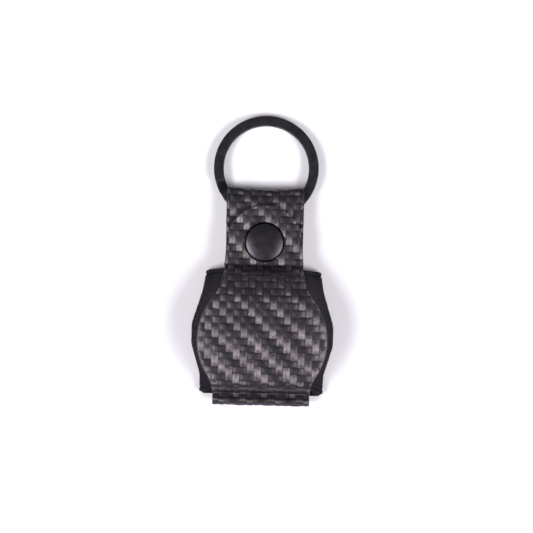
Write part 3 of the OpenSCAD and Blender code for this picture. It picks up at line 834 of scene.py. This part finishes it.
def build_sleeve():
    """A closed tube of webbing; its rows follow the cords, so they run with the mouths."""
    table_y = np.linspace(-19, 19, 153)
    sections = np.array([sleeve_section(y) for y in table_y])
    table_x, table_z, table_round = sections.transpose(1, 0, 2)
    columns = np.arange(SLEEVE_COLUMNS)

    def lookup(table, y):
        at = np.clip((y - table_y[0]) / (table_y[1] - table_y[0]), 0, len(table_y) - 1.001)
        low = at.astype(int)
        return table[low, columns] * (1 - at + low) + table[low + 1, columns] * (at - low)

    near_bottom, near_top = np.full(SLEEVE_COLUMNS, -16.0), np.full(SLEEVE_COLUMNS, 17.0)
    low_y = mouth_bottom(lookup(table_x, near_bottom), lookup(table_z, near_bottom))
    high_y = mouth_top(lookup(table_x, near_top))

    def base(v):
        """Points round the sleeve at share v of its width, before thickness and relief."""
        y = low_y + (high_y - low_y) * v
        return np.stack((lookup(table_x, y), y, lookup(table_z, y)), 1)

    def inward(v):
        around = np.roll(base(v), -1, 0) - np.roll(base(v), 1, 0)
        up = base(v + 0.004) - base(v - 0.004)
        normal = np.cross(around, up)
        normal /= np.linalg.norm(normal, axis=1)[:, None]
        centre = np.array((0, 0, SLEEVE_TOP_Z / 2))
        flip = np.sign((normal * (centre - base(v)) * (1, 0, 1)).sum(1))
        return normal * flip[:, None]

    # Rows of (share of the width, depth): out over the cords, round a lip, back inside, round a lip.
    cords = round(BAND / CORD_PITCH)
    selvage = 1.6 * CORD_PITCH / BAND
    rows = []
    for v in np.linspace(0, 1, cords * 6 + 1):
        ridge = abs(math.sin(math.pi * v * cords)) ** 0.8
        from_mouth = min(v, 1 - v)
        flat_edge = smooth(selvage * 1.25, selvage, from_mouth)
        groove = math.exp(-((from_mouth - selvage * 1.1) / (0.26 / BAND)) ** 2)
        lift = CORD_RELIEF * (ridge * (1 - flat_edge) + 0.75 * flat_edge) - 0.2 * groove
        rows.append((v, -lift))
    lip = [(0.10, 0.06), (0.19, 0.25), (0.22, 0.5), (0.19, 0.78), (0.10, 0.98)]
    rows += [(1 + out / BAND, depth) for out, depth in lip]
    rows += [(v, ELASTIC_T) for v in np.linspace(1, 0, 56)]
    rows += [(-out / BAND, depth) for out, depth in lip[::-1]]

    points, uv = [], []
    for v, depth in rows:
        here = base(v)
        seam = np.exp(-((np.abs(here[:, 0]) - SEAM_X) / 0.3) ** 2) * (here[:, 2] < 1) * (depth < 0.03)
        inner = inward(v)
        moved = here + inner * (depth + (SEAM_DEPTH + CORD_RELIEF) * seam)[:, None]
        moved[:, 2] += CORD_RELIEF * (1 - 1.4 * here[:, 2] / SLEEVE_TOP_Z)
        points.append(moved)
        uv.append(np.stack((lookup(table_round, here[:, 1]), np.full(SLEEVE_COLUMNS, v * BAND)), 1))
    points, uv = np.concatenate(points), np.concatenate(uv)
    points[:, 2] = np.maximum(points[:, 2], 0.0)
    faces = np.array(grid_faces(len(rows), SLEEVE_COLUMNS, wrap=True))
    last = (len(rows) - 1) * SLEEVE_COLUMNS
    close = [[last + j, last + (j + 1) % SLEEVE_COLUMNS, (j + 1) % SLEEVE_COLUMNS, j] for j in columns]
    faces = np.concatenate((faces, close))

    # Where the last column meets the first, the fabric runs on instead of starting again.
    corners = uv[faces]
    wraps = (faces % SLEEVE_COLUMNS == SLEEVE_COLUMNS - 1).any(1)
    first = (faces % SLEEVE_COLUMNS == 0) & wraps[:, None]
    corners[..., 0] += first * table_round[len(table_y) // 2][-1]
    piece = make_object("elastic_band", points, faces, [ELASTIC], uv=corners.reshape(-1, 2))
    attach(piece, "strap")
    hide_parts("elastic_sleeve")


# ---- Turned and wound pieces ----

WEAR_REACH = 0.16  # how far wear spreads from an edge of a turned piece


def mark_wear(piece, values):
    """Stores how worn each point is, for coated_metal."""
    piece.data.attributes.new("wear", "FLOAT", "POINT").data.foreach_set("value", values)


def revolve(name, profile, centre, material, segments=128, closed=False, worn_radii=()):
    """Turns a (radius, z, corner radius) line round a vertical axis at centre."""
    line = rounded_line(profile, 6)
    if closed:
        line = line[:-1]
    angles = np.linspace(0, 2 * math.pi, segments, endpoint=False)
    points, rings, wear = [], [], []
    for radius, z in line:
        wear_and_sheen = max([math.exp(-((radius - r) / WEAR_REACH) ** 2) for r in worn_radii], default=0.0)
        first = len(points)
        if radius < 1e-6:
            points.append((centre[0], centre[1], z))
            rings.append([first] * segments)
            wear.append(wear_and_sheen)
            continue
        for a in angles:
            points.append((centre[0] + radius * math.cos(a), centre[1] + radius * math.sin(a), z))
        rings.append([first + k for k in range(segments)])
        wear += [wear_and_sheen] * segments
    pairs = list(zip(rings[:-1], rings[1:]))
    if closed:
        pairs.append((rings[-1], rings[0]))
    faces = []
    for upper, lower in pairs:
        for k in range(segments):
            quad = [upper[k], upper[(k + 1) % segments], lower[(k + 1) % segments], lower[k]]
            faces.append(list(dict.fromkeys(quad)))
    faces = [f for f in faces if len(f) > 2]
    piece = make_object(name, points, faces, [material])
    mark_wear(piece, wear)
    return piece


def sweep(name, centres, frames, section, material):
    """Carries a section, drawn on each frame's two axes, along a line of centres, and caps its ends."""
    rings = [c + section @ f for c, f in zip(centres, frames)]
    count = len(section)
    points = np.concatenate(rings + [[rings[0].mean(0)], [rings[-1].mean(0)]])
    faces = grid_faces(len(rings), count, wrap=True)
    last = (len(rings) - 1) * count
    for first, tip in ((0, len(points) - 2), (last, len(points) - 1)):
        faces += [[first + j, first + (j + 1) % count, tip] for j in range(count)]
    return make_object(name, points, faces, [material])


def build_press_stud():
    """Cap, socket and spring on the flap, post and knob on the strap, from (radius, z, corner) lines."""
    centre = (0.0, STUD_Y)
    cap_r = (cap_high[0] - cap_low[0]) / 2
    rim_z = cap_low[2] + 1.65
    top_z = cap_high[2]
    shoulder_r = cap_r - 0.42
    dome = [(shoulder_r * k / 16, top_z - CAP_DROP * (k / 16) ** 2.9) for k in range(17)]
    cap = revolve("stud_cap", dome + [
        (cap_r + 0.1, rim_z + 0.2, 0.1), (cap_r + 0.1, rim_z + 0.04, 0.06),
        (cap_r - 0.75, rim_z + 0.04, 0.15), (cap_r - 0.85, rim_z + 0.4, 0.1),
        (1.5, rim_z + 0.72, 0.2), (1.5, cap_low[2] + 0.18, 0.05),
        (1.74, cap_low[2] + 0.12, 0.04), (1.74, cap_low[2], 0.04), (0, cap_low[2]),
    ], centre, CAP_METAL, 160, worn_radii=(cap_r - 0.15,))

    flange_r = (post_high[0] - post_low[0]) / 2
    base_z = post_low[2]
    post = revolve("stud_post", [
        (0, base_z + 0.2), (0.9, base_z + 0.2, 0.1), (1.15, base_z, 0.12),
        (flange_r - 0.5, base_z, 0.3), (flange_r, base_z + 0.3, 0.1),
        (flange_r, base_z + 0.48, 0.08), (flange_r - 0.3, base_z + 0.65, 0.1),
        (1.6, base_z + 0.65, 0.1), (1.6, 3.0, 0.05), (1.5, post_high[2] - 0.15, 0.1),
        (1.35, post_high[2], 0.06), (0.95, post_high[2], 0.06), (0.95, base_z + 0.85, 0.1),
        (0, base_z + 0.85),
    ], centre, SNAP_METAL, worn_radii=(flange_r - 0.1,))

    low, high = stud_low[2], stud_high[2]
    stud = revolve("stud_knob", [
        (1.65, low), (3.9, low, 0.1), (4.1, low + 0.17, 0.08), (4.04, low + 0.34, 0.1),
        (3.6, low + 0.51, 0.3), (2.5, low + 0.58, 0.3), (2.12, low + 0.8, 0.2),
        (2.05, low + 1.1, 0.3), (2.18, low + 1.45, 0.2), (2.4, low + 1.72, 0.12),
        (2.4, high - 0.2, 0.1), (2.2, high, 0.15), (0, high), (0, high - 0.62),
        (1.65, high - 0.62, 0.1), (1.65, low),
    ], centre, SNAP_METAL, closed=True, worn_radii=(2.38,))

    low, high = socket_low[2], socket_high[2]
    socket = revolve("stud_socket", [
        (1.6, high - 0.31), (3.35, high - 0.31, 0.15), (3.55, high - 0.57, 0.15),
        (3.55, low + 0.5, 0.15), (3.35, low + 0.37, 0.05), (2.8, low + 0.37, 0.08),
        (2.75, low + 0.2, 0.08), (2.85, low + 0.03, 0.06), (3.7, low, 0.15),
        (4.1, low + 0.2, 0.15), (4.2, low + 0.55, 0.3), (4.2, high - 0.17, 0.1),
        (4.05, high, 0.08), (1.6, high), (1.6, high - 0.31),
    ], centre, SNAP_METAL, closed=True, worn_radii=(2.8,))

    wire_r = (spring_high[2] - spring_low[2]) / 2
    middle_z = (spring_high[2] + spring_low[2]) / 2
    coil_r = (spring_high[0] - spring_low[0]) / 2 - wire_r
    turns = np.radians(np.linspace(20, 340, 161))
    arms = np.stack((np.cos(turns), np.sin(turns), 0 * turns), 1)
    centres = arms * coil_r + (0, STUD_Y, middle_z)
    circle = np.linspace(0, 2 * math.pi, 20, endpoint=False)
    section = np.stack((np.cos(circle), np.sin(circle)), 1) * wire_r
    frames = [np.array((arm, (0, 0, 1))) for arm in arms]
    spring = sweep("stud_spring", centres, frames, section, SPRING)

    for piece, body, node, slot in (
        (cap, "flap", "snap_cap", "black_metal"),
        (socket, "flap", "snap_socket", "snap_metal"),
        (spring, "flap", "snap_spring", "spring_steel"),
        (post, "strap", "snap_post", "snap_metal"),
        (stud, "strap", "snap_stud", "snap_metal"),
    ):
        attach(piece, body)
        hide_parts(node)


RING_END = 197.7  # degrees round to the free end of the front turn
RING_RAMP = 15  # degrees over which the wire steps from one turn to the other
RING_WIRE_W = 2.8
RING_WIRE_T = 1.07
RING_GAP = 0.05  # gap between the turns
RING_TAPER, TAPER_REACH = 0.25, 2.4  # how much the wire's ends shrink, and over how many degrees
RING_WEAR_REACH = 0.12


def build_ring():
    """Two turns of flat wire that step past each other beside the wire's free end."""
    outer = (ring_high[0] - ring_low[0]) / 2
    middle = outer - RING_WIRE_W / 2
    rise = RING_WIRE_T + RING_GAP
    half_w, half_t, ease = RING_WIRE_W / 2 - 0.01, RING_WIRE_T / 2, 0.2
    outline = rounded_line([
        (0, -half_t), (half_w, -half_t, ease), (half_w, half_t, ease),
        (-half_w, half_t, ease), (-half_w, -half_t, ease), (0, -half_t),
    ], 5)[:-1]
    total = 720 - RING_RAMP
    start = RING_END + RING_RAMP
    last = [total - 0.6, total - 0.3, total]
    turned = np.concatenate(([0, 0.3, 0.6], np.arange(1, total - 0.9, 0.75), last))
    ends = np.minimum(turned, total - turned)
    shrink = 1 - RING_TAPER * np.clip(1 - ends / TAPER_REACH, 0, 1) ** 1.5
    lift = smooth(360 - RING_RAMP, 360, turned) * rise
    across_axis = Vector((1, 0, 0))
    up_axis = ring_axis.normalized()
    along_axis = up_axis.cross(across_axis)
    basis = np.array((across_axis, along_axis, up_axis))
    centres, frames = [], []
    for angle, high, size in zip(np.radians(start + turned), lift, shrink):
        arm = np.array((math.cos(angle), math.sin(angle), 0))
        centres.append(ring_at + (arm * middle + (0, 0, high - rise / 2)) @ basis)
        frames.append(np.array((arm @ basis, basis[2])) * size)
    ring = sweep("key_ring_wire", centres, frames, outline, RING_METAL)
    to_corner = (np.abs(outline) - (half_w, half_t)) / RING_WEAR_REACH
    rub = np.exp(-to_corner ** 2).prod(1)
    mark_wear(ring, np.concatenate((np.tile(rub, len(centres)), (0.5, 0.5))))
    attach(ring, "key_ring")
    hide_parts("split_ring")


STITCHES = 13
STITCH_PITCH = 2.3
STITCH_HALF = 0.85
STITCH_R = 0.17
STITCH_Z = 0.22
STITCH_DIVE = 0.42


def build_stitches():
    """Two rows of stitches in the seam's grooves; each dives into the webbing at both ends."""
    circle = np.linspace(0, 2 * math.pi, 12, endpoint=False)
    section = np.stack((np.cos(circle), np.sin(circle)), 1) * STITCH_R
    share = np.linspace(-1, 1, 17)
    pieces = []
    for side in (-1, 1):
        for k in range(STITCHES):
            middle = (k - (STITCHES - 1) / 2) * STITCH_PITCH
            y = middle + share * STITCH_HALF
            z = STITCH_Z + STITCH_DIVE * np.abs(share) ** 3
            x = side * SEAM_X + 0.05 * share
            centres = np.stack((x, y, z), 1)
            tangents = np.gradient(centres, axis=0)
            frames = []
            for tangent in tangents:
                across = unit(np.cross(tangent, (0, 0, 1)))
                frames.append(np.array((across, unit(np.cross(across, tangent)))))
            pieces.append(sweep(f"stitch_{side}_{k}", centres, frames, section, THREAD))
    first = pieces[0]
    edit = bmesh.new()
    for piece in pieces:
        edit.from_mesh(piece.data)
    edit.to_mesh(first.data)
    edit.free()
    for piece in pieces[1:]:
        bpy.data.objects.remove(piece)
    first.name = "seam_stitches"
    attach(first, "strap")
    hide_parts("sleeve_stitching")


def paint_tag():
    """The tag's own CAD pieces keep their shape and take their materials."""
    plastic, steel, board = tag_plastic(), tag_steel(), circuit_board()
    finishes = {"tag_shell": plastic, "tag_cover": steel, "tag_cell": steel, "tag_board": board}
    for node, material in finishes.items():
        mesh = frame["nodes"][node].data
        mesh.materials.clear()
        mesh.materials.append(material)


# ---- Floor, lights and camera ----

FLOOR_REACH = 2000
FLOOR_POINTS = 9
FLOOR_Z = -0.02


def build_floor():
    """A flat sweep, a hair below the object."""
    line = np.linspace(-FLOOR_REACH, FLOOR_REACH, FLOOR_POINTS)
    x, y = np.meshgrid(line, line)
    points = np.stack((x.ravel(), y.ravel(), np.full(x.size, FLOOR_Z)), 1)
    floor = make_object("floor", points, grid_faces(FLOOR_POINTS, FLOOR_POINTS), [floor_paper()])
    if floor.data.polygons[0].normal.z < 0:
        floor.data.flip_normals()


SOFTBOX_SIZE = (0.44, 0.34)
SOFTBOX_COLOUR = (1.0, 0.97, 1.0)
LIT_POINT = Vector((0, 0.015, 0))
SKY_COLOUR = (0.92, 0.90, 1.0, 1)
SKY_BRIGHTEST = (0, -0.5, 0.87)  # the direction in which the surroundings are brightest
SKY_RAMP = {"From Min": 0.3, "From Max": 0.95, "To Min": 0.12, "To Max": 0.34}


def softbox(name, place, power):
    """A rectangular area light that faces the object."""
    light = bpy.data.lights.new(name, "AREA")
    light.shape = "RECTANGLE"
    light.size, light.size_y = SOFTBOX_SIZE
    light.energy = power
    light.color = SOFTBOX_COLOUR
    lamp = add_object(name, light)
    lamp.location = place
    lamp.rotation_mode = "QUATERNION"
    lamp.rotation_quaternion = (LIT_POINT - Vector(place)).to_track_quat("-Z", "Y")


def build_studio():
    """Two softboxes, and pale surroundings that brighten overhead."""
    softbox("softbox_left", (-0.50, -0.20, 0.60), 6.6)
    softbox("softbox_right", (0.52, -0.22, 0.56), 6.1)
    world = bpy.data.worlds.new("studio")
    world.use_nodes = True
    nodes, links = world.node_tree.nodes, world.node_tree.links
    background = nodes["Background"]
    background.inputs["Color"].default_value = SKY_COLOUR
    toward = nodes.new("ShaderNodeTexCoord")
    overhead = nodes.new("ShaderNodeVectorMath")
    overhead.operation = "DOT_PRODUCT"
    overhead.inputs[1].default_value = SKY_BRIGHTEST
    strength = nodes.new("ShaderNodeMapRange")
    for socket, value in SKY_RAMP.items():
        strength.inputs[socket].default_value = value
    links.new(toward.outputs["Generated"], overhead.inputs[0])
    links.new(overhead.outputs["Value"], strength.inputs["Value"])
    links.new(strength.outputs["Result"], background.inputs["Strength"])
    bpy.context.scene.world = world
    bpy.context.scene.view_settings.view_transform = "Standard"


CAMERA_AT = (0.00073, 0.01865, 0.4)
CAMERA_ROLL = 1.4  # degrees
VIEW_WIDE = 0.1535  # width of the view on the floor


def build_camera():
    """Straight above the object, as in the photo."""
    camera = bpy.data.cameras.new("camera")
    camera.sensor_width = 36
    camera.lens = camera.sensor_width * CAMERA_AT[2] / VIEW_WIDE
    camera.clip_start, camera.clip_end = 0.01, 10
    holder = add_object("camera", camera)
    holder.location = CAMERA_AT
    holder.rotation_euler = (0, 0, math.radians(CAMERA_ROLL))
    bpy.context.scene.camera = holder


build_camera()
build_leather()
build_press_stud()
build_sleeve()
build_stitches()
build_ring()
paint_tag()
build_floor()
build_studio()
